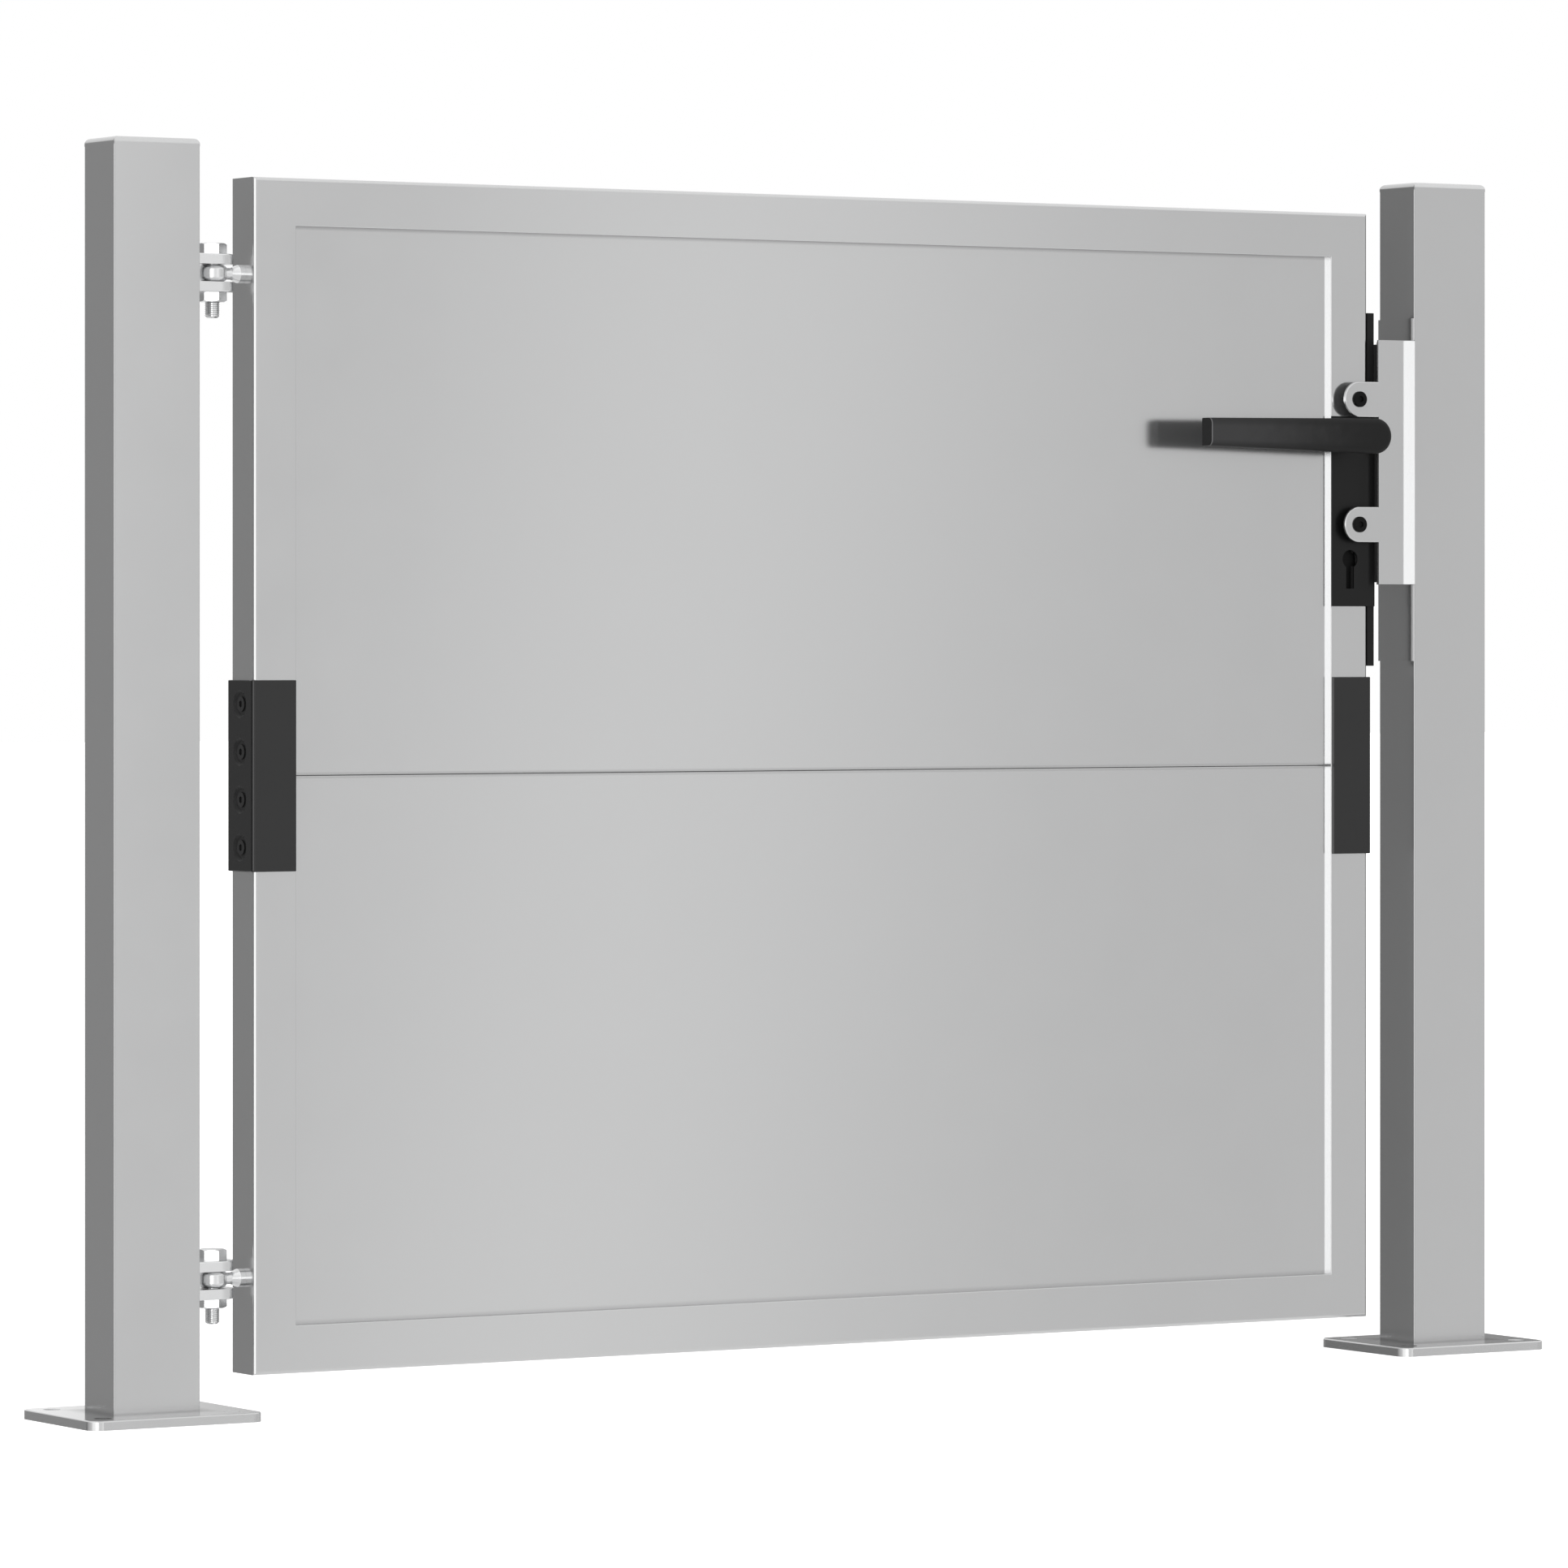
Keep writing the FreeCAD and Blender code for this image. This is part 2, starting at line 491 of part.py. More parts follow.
def make_lock():
    """Forend strip, latch, covers, key cylinder and stile openings of the lock."""
    forend = new_body("lock_forend", LEAF_RIGHT, LEAF_DEPTH, "forend_middle")
    strip = new_sketch(forend, "strip", "YZ_Plane")
    draw_rectangle(strip, "frame_tube", "forend_height")
    pad(forend, strip, "forend_thick")
    thick = evaluate("forend_thick")
    round_edges(forend, "forend_edge", lambda edge: abs(edge.BoundBox.XMin - thick) < 1e-6)
    window = new_sketch(forend, "latch_window", "YZ_Plane", "0", "latch_middle - forend_middle")
    draw_rectangle(window, "latch_width", "latch_height")
    pocket(forend, window, "forend_thick", backwards=True)

    latch = new_body("latch_bolt", LEAF_RIGHT, LEAF_DEPTH, "latch_middle")
    side = new_sketch(latch, "side", "XY_Plane")
    reach = "(forend_thick + latch_reach)"
    draw_outline(side, [("0", "-latch_width / 2"), ("forend_thick", "-latch_width / 2"),
                        (reach, "latch_width / 2 - latch_reach"), (reach, "latch_width / 2"),
                        ("0", "latch_width / 2")])
    pad(latch, side, "latch_height", both_ways=True)

    middle = f"({LEAF_RIGHT} - frame_tube + lock_cover_width / 2)"
    height = "(lock_cover_top - lock_cover_low)"
    centre = "((lock_cover_top + lock_cover_low) / 2)"
    across = f"({STILE_AXIS} - {middle})"
    for side_name, y in (("front", f"{LEAF_FRONT} - lock_cover_thick / 2"),
                         ("back", f"{LEAF_BACK} + lock_cover_thick / 2")):
        cover = new_body(f"lock_cover_{side_name}", middle, y, centre)
        plate = new_sketch(cover, "plate", "XZ_Plane")
        draw_rectangle(plate, "lock_cover_width", height)
        pad(cover, plate, "lock_cover_thick", both_ways=True)
        spindle = new_sketch(cover, "spindle", "XZ_Plane", across, f"spindle_height - {centre}")
        draw_circle(spindle, "spindle_bore")
        pocket(cover, spindle, "3 * lock_cover_thick", both_ways=True)
        key = new_sketch(cover, "key_round", "XZ_Plane", across, f"cylinder_height - {centre}")
        draw_circle(key, "cylinder_round")
        pocket(cover, key, "3 * lock_cover_thick", both_ways=True)
        leg = new_sketch(cover, "key_leg", "XZ_Plane", across,
                         f"cylinder_height - cylinder_drop / 2 - {centre}")
        draw_rectangle(leg, "cylinder_slot", "cylinder_drop")
        pocket(cover, leg, "3 * lock_cover_thick", both_ways=True)

    cylinder = new_body("key_cylinder", STILE_AXIS, LEAF_DEPTH, "cylinder_height")
    length = "frame_tube + 2 * lock_cover_thick - 2 * cylinder_inset"
    top = new_sketch(cylinder, "round", "XZ_Plane")
    draw_circle(top, "cylinder_round")
    pad(cylinder, top, length, both_ways=True)
    leg = new_sketch(cylinder, "leg", "XZ_Plane", "0", "-cylinder_drop / 2")
    draw_rectangle(leg, "cylinder_slot", "cylinder_drop")
    pad(cylinder, leg, length, both_ways=True)


def make_handle(side, outwards):
    """A lever on one face of the leaf, pointing to the hinges; outwards is 1 or -1 along Y."""
    face = LEAF_BACK if outwards > 0 else LEAF_FRONT
    body = new_body(f"{side}_handle", STILE_AXIS, f"{face} + {outwards} * lever_stand", "spindle_height")
    hub = new_sketch(body, "hub", "XZ_Plane")
    draw_circle(hub, "lever_hub")
    pad(body, hub, "lever_thick", backwards=outwards > 0)
    lever = new_sketch(body, "lever", "XZ_Plane")
    draw_outline(lever, [("0", "-lever_hub / 2"), ("0", "lever_hub / 2"),
                         ("-lever_reach", "lever_tip / 2 + lever_rise"),
                         ("-lever_reach", "-lever_tip / 2 + lever_rise")])
    pad(body, lever, "lever_thick", backwards=outwards > 0)
    front = evaluate("lever_thick")
    tip = evaluate("lever_reach")
    round_edges(body, "lever_edge", lambda edge: lies_at(ALONG_Y, front)(edge)
                and not lies_at(ALONG_X, tip)(edge))
    round_edges(body, "tip_edge", lambda edge: lies_at(ALONG_X, tip)(edge)
                and outwards * edge.CenterOfMass.y > front / 2 and not runs_along(ALONG_Y)(edge))
    neck = new_sketch(body, "neck", "XZ_Plane")
    draw_circle(neck, "neck_size")
    pad(body, neck, "lever_stand - neck_clear", backwards=outwards < 0)
    socket = new_sketch(body, "socket", "XZ_Plane", "0", "0",
                        f"{outwards} * (lever_stand - neck_clear)")
    draw_rectangle(socket, "spindle_size", "spindle_size")
    pocket(body, socket, "socket_depth", backwards=outwards < 0)


def make_spindle():
    """The square bar that joins the two levers through the stile."""
    body = new_body("handle_spindle", STILE_AXIS, LEAF_DEPTH, "spindle_height")
    section = new_sketch(body, "section", "XZ_Plane")
    draw_rectangle(section, "spindle_size", "spindle_size")
    pad(body, section, "frame_tube + 2 * neck_clear + 2 * socket_depth", both_ways=True)


def make_keeper():
    """Backing plate, bracket with two stop lugs, the strip that lines it, and stop bolts on the latch post."""
    post_face = "(post_spacing - post_width / 2)"
    backing = new_body("keeper_backing_plate", f"{post_face} - backing_thick / 2", "0", "backing_middle")
    plate = new_sketch(backing, "plate", "YZ_Plane")
    draw_rectangle(plate, "post_depth", "backing_height")
    pad(backing, plate, "backing_thick", both_ways=True)

    leg_left = f"({post_face} - backing_thick - keeper_leg)"
    stop_front = "(stop_setback - post_depth / 2)"
    bracket = new_body("keeper_bracket", leg_left, stop_front, "keeper_middle")
    leg = new_sketch(bracket, "leg", "XY_Plane", "keeper_leg / 2", f"-keeper_front / 2 - {stop_front}")
    draw_rectangle(leg, "keeper_leg", "post_depth + keeper_front")
    pad(bracket, leg, "keeper_height", both_ways=True)
    stop = new_sketch(bracket, "stop", "XZ_Plane", "-stop_width / 2")
    draw_rectangle(stop, "stop_width", "keeper_height")
    pad(bracket, stop, "stop_thick", backwards=True)
    for level, sign in (("upper", 1), ("lower", -1)):
        height = f"{sign} * lug_spacing / 2"
        lug = new_sketch(bracket, f"{level}_lug", "XZ_Plane", "-lug_reach / 2", height)
        draw_rectangle(lug, "lug_reach", "2 * lug_radius")
        pad(bracket, lug, "stop_thick", backwards=True)
        nose = new_sketch(bracket, f"{level}_nose", "XZ_Plane", "-lug_reach", height)
        draw_circle(nose, "2 * lug_radius")
        pad(bracket, nose, "stop_thick", backwards=True)
    nose_radius = evaluate("lug_radius")
    round_edges(bracket, "lug_edge", lambda edge: isinstance(edge.Curve, Part.Circle)
                and abs(edge.Curve.Radius - nose_radius) < 1e-6 and abs(edge.CenterOfMass.y) < 1e-6)
    for level, sign in (("upper", 1), ("lower", -1)):
        hole = new_sketch(bracket, f"{level}_hole", "XZ_Plane", "-lug_reach", f"{sign} * lug_spacing / 2")
        draw_circle(hole, "stop_hole")
        pocket(bracket, hole, "stop_thick")
    slot = new_sketch(bracket, "slot", "YZ_Plane", f"{LEAF_DEPTH} - {stop_front}",
                      "latch_middle - keeper_middle")
    draw_rectangle(slot, "keeper_slot_width", "keeper_slot_height")
    pocket(bracket, slot, "keeper_leg", backwards=True)

    edging = new_body("keeper_edging", f"{leg_left} - edging_thick / 2", stop_front, "keeper_middle")
    depth = "(post_depth - stop_setback - stop_thick)"
    strip = new_sketch(edging, "strip", "YZ_Plane", f"stop_thick + {depth} / 2")
    draw_rectangle(strip, depth, "keeper_height - 2 * edging_inset")
    pad(edging, strip, "edging_thick", both_ways=True)
    slot = new_sketch(edging, "slot", "YZ_Plane", f"{LEAF_DEPTH} - {stop_front}",
                      "latch_middle - keeper_middle")
    draw_rectangle(slot, "keeper_slot_width", "keeper_slot_height")
    pocket(edging, slot, "2 * edging_thick", both_ways=True)

    for level, sign in (("upper", 1), ("lower", -1)):
        bolt = new_body(f"{level}_stop_bolt", f"{leg_left} - lug_reach", stop_front,
                        f"keeper_middle + {sign} * lug_spacing / 2")
        head = new_sketch(bolt, "head", "XZ_Plane")
        draw_circle(head, "stop_head")
        pad(bolt, head, "stop_head_thick")
        round_edges(bolt, "stop_head_edge", lies_at(ALONG_Y, evaluate("stop_head_thick")))
        socket = new_sketch(bolt, "socket", "XZ_Plane", "0", "0", "stop_head_thick / 3")
        draw_hexagon(socket, "stop_socket")
        pocket(bolt, socket, "stop_head_thick", backwards=True)
        shank = new_sketch(bolt, "shank", "XZ_Plane")
        draw_circle(shank, "stop_hole")
        pad(bolt, shank, "stop_thick", backwards=True)


make_post("left", "0")
make_post("right", LATCH_POST)
make_leaf_frame()
make_panel("upper_panel", f"{LEAF_CENTRE} + (leaf_height / 2 - frame_tube) / 2", -1)
make_panel("lower_panel", f"{LEAF_CENTRE} - (leaf_height / 2 - frame_tube) / 2", 1)
make_hinge("upper", "upper_hinge")
make_hinge("lower", "lower_hinge")
make_stile_cover("hinge_stile", LEAF_LEFT, -1)
make_stile_cover("latch_stile", LEAF_RIGHT, 1)
make_lock()
make_handle("front", -1)
make_handle("back", 1)
make_spindle()
make_keeper()

doc.recompute()
for item in doc.Objects:
    if "Invalid" in item.State or "Error" in item.State:
        raise RuntimeError(f"{item.Name} is {item.State}")
for body in SUBPARTS:
    if body.Shape.isNull() or not body.Shape.isValid():
        raise RuntimeError(f"{body.Label} has no valid shape")

os.makedirs("parts", exist_ok=True)
for body in SUBPARTS:
    body.Shape.exportStep(f"parts/{body.Label}.step")
    print(body.Label, round(body.Shape.Volume, 1), len(body.Shape.Solids))
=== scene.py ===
"""Looks of a steel garden gate: its finishes, screw threads, studio and camera.

The file is laid out as an add-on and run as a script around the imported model.
Lengths are in metres, and the gate stands along X with its front towards -Y.
"""
import math
import bpy
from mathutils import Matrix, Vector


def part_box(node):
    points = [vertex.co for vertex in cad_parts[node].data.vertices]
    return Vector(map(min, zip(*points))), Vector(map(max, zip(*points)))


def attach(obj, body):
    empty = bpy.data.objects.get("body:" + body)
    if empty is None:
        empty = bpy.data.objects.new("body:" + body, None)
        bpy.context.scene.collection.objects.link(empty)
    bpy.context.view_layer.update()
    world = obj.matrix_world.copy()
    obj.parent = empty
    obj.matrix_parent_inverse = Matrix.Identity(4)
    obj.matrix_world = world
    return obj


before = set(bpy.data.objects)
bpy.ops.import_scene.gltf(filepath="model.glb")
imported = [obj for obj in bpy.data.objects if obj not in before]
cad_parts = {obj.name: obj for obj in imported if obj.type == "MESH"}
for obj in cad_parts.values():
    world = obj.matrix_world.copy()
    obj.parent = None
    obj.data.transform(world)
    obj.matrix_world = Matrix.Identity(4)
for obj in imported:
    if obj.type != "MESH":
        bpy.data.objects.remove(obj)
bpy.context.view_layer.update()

MILLIMETRE = 0.001

bl_info = {
    "name": "Steel garden gate",
    "version": (1, 0, 0),
    "blender": (4, 5, 0),
    "location": "3D View > Sidebar > Gate",
    "description": "Finishes, screw threads and studio for a steel garden gate",
    "category": "Object",
}

# The posts: from the middle of one to the middle of the other, and half their width and depth.
# The left one stands on the frame's origin.
POST_SPREAD = 0.990
POST_HALF_WIDTH = 0.030
POST_HALF_DEPTH = 0.020
# The bolt holes of a base plate, from the middle of its post, and a little more than their radius
HOLE_X = 0.045
HOLE_Y = 0.035
HOLE_REACH = 0.00556
# The levers along X, from their hub to where their painted sheen is full, and their height there
LEVER_HUB = 0.913
LEVER_SHEEN_FULL = 0.790
LEVER_HEIGHT = 0.6235

# How many grains wide a surface's mottle is
MOTTLE_SPAN = 60

# Brightness round the studio at eye level. Each stop is a direction in degrees, turned from
# straight in front of the gate towards its latch post, and the brightness of the wall there.
STUDIO_RING = (
    (-180, 0.45), (-153, 0.30), (-142, 0.16), (-136, 0.16), (-122, 0.45), (-80, 0.85),
    (-72, 1.35), (-46, 1.50), (-39, 2.60), (-26, 2.60), (-18, 1.20), (-10, 0.92), (6, 0.90),
    (25, 1.25), (26.4, 0.74), (27.4, 0.28), (28.4, 0.30), (29.3, 0.95), (30.2, 1.38), (31.2, 1.11),
    (32.4, 0.74), (34.2, 0.61), (36.4, 0.65), (39.5, 0.82), (46, 0.66), (100, 0.66), (142, 0.25),
    (147, 0.25), (151.5, 0.52), (154, 1.45), (164, 1.30), (180, 0.50),
)
# A ramp's stops stay below 1, so the ring is divided by this for the ramp and multiplied after it
RING_PEAK = 3.0
# Sideways lean of the light band that the leaf mirrors, in degrees for each degree of height
BAND_LEAN = 0.14
# Directions of the high lamp, in the ring's degrees: it starts, is full, is still full and ends
LAMP_EDGES = (-120, -100, -28, -20)
# Heights of a direction of length 1 over which the ring gives way to the other lights
CEILING_RISE = (0.12, 0.32)
FLOOR_FALL = (0.11, 0.18)
LAMP_RISE = (0.06, 0.24)
FLOOR_COLOUR = (0.80, 0.80, 0.80, 1.0)
# What the floor adds for the camera alone, to look as white as the backdrop
FLOOR_GLOW = 0.6

THREAD_STEPS = 32


class Wire:
    """An output socket of a node tree. Arithmetic on it adds Math nodes."""

    def __init__(self, tree, socket=None):
        self.tree = tree
        self.socket = socket

    def add(self, kind, settings=None, inputs=None, output=0):
        """Add any node: first its settings, then the values or links of its sockets."""
        node = self.tree.nodes.new(kind)
        for name, value in (settings or {}).items():
            if name == "stops":
                lay_stops(node.color_ramp, value)
            else:
                setattr(node, name, value)
        for name, value in (inputs or {}).items():
            if isinstance(value, Wire):
                self.tree.links.new(value.socket, node.inputs[name])
            else:
                node.inputs[name].default_value = value
        return Wire(self.tree, node.outputs[output] if node.outputs else None)

    def math(self, operation, first, second=0.0):
        return self.add("ShaderNodeMath", {"operation": operation}, {0: first, 1: second})

    def __add__(self, other):
        return self.math("ADD", self, other)

    __radd__ = __add__

    def __sub__(self, other):
        return self.math("SUBTRACT", self, other)

    def __rsub__(self, other):
        return self.math("SUBTRACT", other, self)

    def __mul__(self, other):
        return self.math("MULTIPLY", self, other)

    __rmul__ = __mul__

    def __truediv__(self, other):
        return self.math("DIVIDE", self, other)

    def __neg__(self):
        return self.math("MULTIPLY", self, -1.0)

    def ramp(self, low, high):
        """0 below low, 1 above high and a soft step between."""
        return self.add("ShaderNodeMapRange", {"interpolation_type": "SMOOTHSTEP"},
                        {"Value": self, "From Min": low, "From Max": high})

    def blend(self, other, share):
        """This value, turned into another one by a share."""
        return self + (other - self) * share


def lay_stops(ramp, stops):
    """Set a colour ramp's stops, each a position and a grey level."""
    ramp.interpolation = "LINEAR"
    while len(ramp.elements) < len(stops):
        ramp.elements.new(0.5)
    for element, (position, level) in zip(ramp.elements, stops):
        element.position = position
        element.color = (level, level, level, 1.0)


def empty_tree(owner):
    """The owner's node tree, emptied."""
    owner.use_nodes = True
    owner.node_tree.nodes.clear()
    return Wire(owner.node_tree)


def surface_noise(wires, size, detail=2.0):
    """A noise of a given grain size, in the piece's own coordinates."""
    place = wires.add("ShaderNodeTexCoord", output="Object")
    inputs = {"Vector": place, "Scale": 1.0 / size, "Detail": detail, "Roughness": 0.5}
    return wires.add("ShaderNodeTexNoise", None, inputs)


def tint(wires, colour, shade):
    """A colour made lighter or darker by a shade about 1."""
    settings = {"data_type": "RGBA", "blend_type": "MULTIPLY"}
    grey = wires.add("ShaderNodeCombineColor", None, {"Red": shade, "Green": shade, "Blue": shade})
    return wires.add("ShaderNodeMix", settings, {0: 1.0, 6: (*colour, 1.0), 7: grey}, output=2)


def coordinates(wires, place):
    """The X, Y and Z of a vector."""
    return [wires.add("ShaderNodeSeparateXYZ", None, {0: place}, output=axis) for axis in range(3)]


def piece_place(wires):
    """The X, Y and Z of a point, in the piece's own coordinates."""
    return coordinates(wires, wires.add("ShaderNodeTexCoord", output="Object"))


def finish_surface(name, colour, metallic, roughness, shine, grain, relief, mottle, unevenness,
                   painted_shade_and_finish=None):
    """A coated or plated surface with a fine grain, a faint mottle and an uneven gloss.

    painted_shade_and_finish takes the tree and gives, from place to place, what the colour is
    multiplied by, which is mostly painted shade and painted light, what the metal is multiplied by
    and what is added to the roughness.
    """
    material = bpy.data.materials.new(name)
    wires = empty_tree(material)
    fine = surface_noise(wires, grain)
    broad = surface_noise(wires, MOTTLE_SPAN * grain, detail=3.0)
    shade = 1.0 + (broad - 0.5) * mottle + (fine - 0.5) * mottle
    gloss = roughness + (broad - 0.5) * unevenness
    if painted_shade_and_finish:
        painted_shading, metal_kept, roughened = painted_shade_and_finish(wires)
        shade = shade * painted_shading
        metallic = metallic * metal_kept
        gloss = gloss + roughened
    bump = wires.add("ShaderNodeBump", None, {"Strength": 1.0, "Distance": relief, "Height": fine})
    shader = wires.add("ShaderNodeBsdfPrincipled", None, {
        "Base Color": tint(wires, colour, shade),
        "Metallic": metallic,
        "Roughness": gloss,
        "Specular IOR Level": shine,
        "Normal": bump,
    })
    wires.add("ShaderNodeOutputMaterial", None, {"Surface": shader})
    return material


def grey_coat(name, finishes, painted_shade_and_finish=None):
    """The silver-grey powder coat, with painted shade, painted light and less metal on some of its
    pieces.
    """
    return finish_surface(
        name, finishes.coat_colour, finishes.coat_metallic, finishes.coat_roughness, shine=0.5,
        grain=0.9 * MILLIMETRE, relief=0.002 * MILLIMETRE, mottle=0.015, unevenness=0.02, painted_shade_and_finish=painted_shade_and_finish)


def from_post_middle(across):
    """The distance along X from the middle of the nearer post, below 0 on its left."""
    return across - across.math("GREATER_THAN", across, POST_SPREAD / 2) * POST_SPREAD


def size_of(wire):
    """A value without its sign."""
    return wire.math("ABSOLUTE", wire)


def near(distance, depth, reach):
    """1 beyond a reach, and less by a depth at distance 0, with a soft step between."""
    return 1.0 - (1.0 - distance.ramp(0.0, reach)) * depth


class GateFinishes(bpy.types.PropertyGroup):
    """Colours and gloss of the gate's surfaces."""

    coat_colour: bpy.props.FloatVectorProperty(
        name="Grey coat", description="Colour of the posts and the leaf", subtype="COLOR", size=3,
        default=(0.640, 0.642, 0.644), min=0.0, max=1.0)
    coat_metallic: bpy.props.FloatProperty(
        name="Grey coat metal", description="How metallic the grey coat is", default=0.93,
        min=0.0, max=1.0)
    coat_roughness: bpy.props.FloatProperty(
        name="Grey coat roughness", description="Roughness of the grey coat", default=0.15,
        min=0.0, max=1.0)
    black_colour: bpy.props.FloatVectorProperty(
        name="Black coat", description="Colour of the stiles' covers", subtype="COLOR", size=3,
        default=(0.0050, 0.0050, 0.0052), min=0.0, max=1.0)
    black_shine: bpy.props.FloatProperty(
        name="Black coat shine", description="How strongly the stiles' covers mirror the studio",
        default=0.58, min=0.0, max=1.0)
    black_roughness: bpy.props.FloatProperty(
        name="Black coat roughness", description="Roughness of the stiles' covers",
        default=0.20, min=0.0, max=1.0)
    lock_colour: bpy.props.FloatVectorProperty(
        name="Lock coat", description="Colour of the lock and its levers", subtype="COLOR", size=3,
        default=(0.0050, 0.0050, 0.0051), min=0.0, max=1.0)
    lock_shine: bpy.props.FloatProperty(
        name="Lock coat shine",
        description="How strongly the lock and its levers mirror the studio",
        default=0.25, min=0.0, max=1.0)
    # Painted sheen: how much lighter the levers are painted towards their ends
    lever_sheen: bpy.props.FloatProperty(
        name="Lever rub", description="How much greyer hands have rubbed the levers' ends",
        default=0.034, min=0.0, max=1.0)
    plastic_colour: bpy.props.FloatVectorProperty(
        name="Black plastic", description="Colour of the plastic pieces and the key cylinder",
        subtype="COLOR", size=3, default=(0.0040, 0.0040, 0.0040), min=0.0, max=1.0)
    plastic_shine: bpy.props.FloatProperty(
        name="Black plastic shine", description="How strongly the plastic mirrors the studio",
        default=0.12, min=0.0, max=1.0)
    zinc_colour: bpy.props.FloatVectorProperty(
        name="Zinc", description="Colour of the hinge pieces", subtype="COLOR", size=3,
        default=(0.790, 0.794, 0.798), min=0.0, max=1.0)
    zinc_roughness: bpy.props.FloatProperty(
        name="Zinc roughness", description="Roughness of the hinge pieces", default=0.24,
        min=0.0, max=1.0)


class GateThreads(bpy.types.PropertyGroup):
    """The screw threads under the hinge nuts."""

    pitch: bpy.props.FloatProperty(
        name="Thread pitch", description="Rise of the thread in one turn", unit="LENGTH",
        default=0.00125, min=0.0005)
    reach: bpy.props.FloatProperty(
        name="Thread radius", description="Radius over the thread's crests", unit="LENGTH",
        default=0.00495, min=0.0)
    depth: bpy.props.FloatProperty(
        name="Thread depth", description="Height of the ridge, with its foot in the bolt",
        unit="LENGTH", default=0.0008, min=0.0)
    lead_in: bpy.props.FloatProperty(
        name="Lead-in", description="Plain length at the bolt's end", unit="LENGTH",
        default=0.0012, min=0.0)


class GateStudio(bpy.types.PropertyGroup):
    """Camera, floor and light."""

    camera_place: bpy.props.FloatVectorProperty(
        name="Camera place", description="Where the camera stands", subtype="TRANSLATION",
        unit="LENGTH", size=3, default=(-2.3238, -4.5421, 0.4857))
    camera_turn: bpy.props.FloatProperty(
        name="Camera turn",
        description="Turn of the level camera from the gate's depth towards its latch post",
        subtype="ANGLE", unit="ROTATION", default=0.5512)
    camera_lens: bpy.props.FloatProperty(
        name="Focal length", description="Focal length on a 36 mm wide picture",
        default=187.78, min=1.0)
    camera_drop: bpy.props.FloatProperty(
        name="Frame drop", description="Share of the picture by which the frame is lowered",
        default=0.0924)
    floor_width: bpy.props.FloatProperty(
        name="Floor width", description="Width of the square floor", unit="LENGTH",
        default=60.0, min=1.0)
    overhead: bpy.props.FloatProperty(
        name="Overhead light", description="Brightness of the studio's ceiling",
        default=0.93, min=0.0)
    underfoot: bpy.props.FloatProperty(
        name="Light from below", description="Brightness that metal mirrors from below",
        default=0.82, min=0.0)
    lamp: bpy.props.FloatProperty(
        name="High lamp", description="Brightness of the high lamp on the hinge side",
        default=1.20, min=0.0)
    side_lean: bpy.props.FloatProperty(
        name="Side lean", description="How much brighter ceiling and floor are on the latch side",
        default=0.22)


class FinishOperator:
    """What the operators that finish a group of nodes share. Each has its nodes and surface."""

    bl_options = {"REGISTER", "UNDO"}

    def execute(self, context):
        material = self.surface(context.scene.gate_finishes)
        for name in self.nodes:
            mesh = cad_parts[name].data
            mesh.materials.clear()
            mesh.materials.append(material)
        return {"FINISHED"}


class GATE_OT_grey_coat(FinishOperator, bpy.types.Operator):
    """Give the leaf and the keeper the grey coat, with painted shade that dims the highlight on the
    hinge stile's rounded front edge
    """

    bl_idname = "gate.grey_coat"
    bl_label = "Grey coat"
    nodes = ("hinge_stile", "top_rail", "bottom_rail", "keeper_bracket")

    def surface(self, finishes):
        left, front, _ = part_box("hinge_stile")[0]

        def painted_corner_shade(wires):
            across, depth, _ = piece_place(wires)
            # Painted shade: the hinge stile's rounded front edge is painted darker, which dims its
            # highlight
            inwards = across + depth - (left + front)
            return near(inwards, depth=0.9, reach=1.5 * MILLIMETRE), 1.0, 0.0

        return grey_coat("grey_powder_coat", finishes, painted_corner_shade)


class GATE_OT_panel_coat(FinishOperator, bpy.types.Operator):
    """Give the infill panels the grey coat, with painted shade along their joint and beside the
    rails
    """

    bl_idname = "gate.panel_coat"
    bl_label = "Panel coat"
    nodes = ("upper_panel", "lower_panel")

    def surface(self, finishes):
        joint = (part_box("upper_panel")[0][2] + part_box("lower_panel")[1][2]) / 2
        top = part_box("top_rail")[0][2]
        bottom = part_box("bottom_rail")[1][2]

        def painted_joint_shade(wires):
            height = piece_place(wires)[2]
            # Painted shade along the panels' joint and beside the rails, where the parts meet
            shade = near(size_of(height - joint), depth=0.30, reach=2.6 * MILLIMETRE)
            shade *= near(top - height, depth=0.30, reach=2.8 * MILLIMETRE)
            shade *= near(height - bottom, depth=0.18, reach=3.8 * MILLIMETRE)
            return shade, 1.0, 0.0

        return grey_coat("grey_powder_coat_panels", finishes, painted_joint_shade)


class GATE_OT_post_coat(FinishOperator, bpy.types.Operator):
    """Give the posts and their caps the grey coat, with painted shade that dims the highlight on
    their rounded front left edges
    """

    bl_idname = "gate.post_coat"
    bl_label = "Post coat"
    nodes = ("left_post", "right_post", "left_post_cap", "right_post_cap")

    def surface(self, finishes):
        outer, inner, darker = 0.2 * MILLIMETRE, 1.2 * MILLIMETRE, 0.36

        def painted_corner_shades(wires):
            across, depth, _ = piece_place(wires)
            left = -from_post_middle(across)
            # Painted shade: the rounded front left edges of the posts are painted darker, which
            # dims their highlight
            side = left.ramp(POST_HALF_WIDTH - inner, POST_HALF_WIDTH - outer)
            front = (-depth).ramp(POST_HALF_DEPTH - inner, POST_HALF_DEPTH - outer)
            return 1.0 - side * front * darker, 1.0, 0.0

        return grey_coat("grey_powder_coat_posts", finishes, painted_corner_shades)


